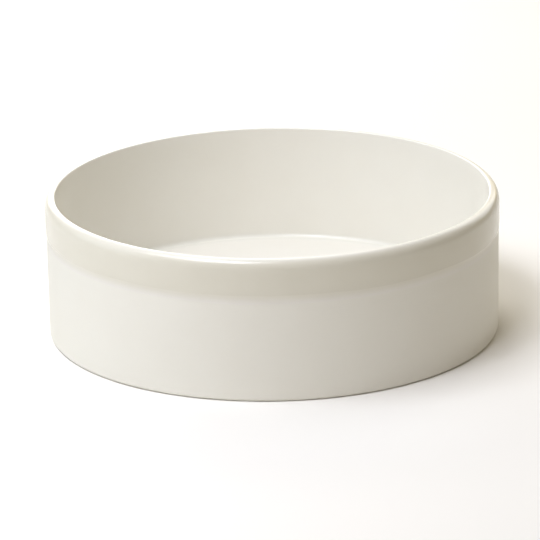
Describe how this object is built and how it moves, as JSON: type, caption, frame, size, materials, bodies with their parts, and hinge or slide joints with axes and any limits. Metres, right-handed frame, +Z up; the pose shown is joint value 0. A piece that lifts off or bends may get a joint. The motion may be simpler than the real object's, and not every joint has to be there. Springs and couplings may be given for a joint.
{
  "type": "low-form porcelain crucible",
  "caption": "Low round porcelain dish with a straight wall, rounded lip and flat base, glazed inside, over the lip and round the top of the outside.",
  "frame": {"origin": "on the dish's axis, at the level of the flat ring that it stands on", "axes": "+Z up along the dish's axis, out of its mouth"},
  "size_m": [0.1, 0.1, 0.0313],
  "materials": {
    "bisque_porcelain": "fired hard porcelain left unglazed, matt and very fine-grained, off-white",
    "clear_glaze": "glossy feldspathic glaze over porcelain, warm white, smooth"
  },
  "bodies": {
    "root": {"porcelain_body": "bisque_porcelain", "glaze_coat": "clear_glaze"}
  },
  "joints": []
}
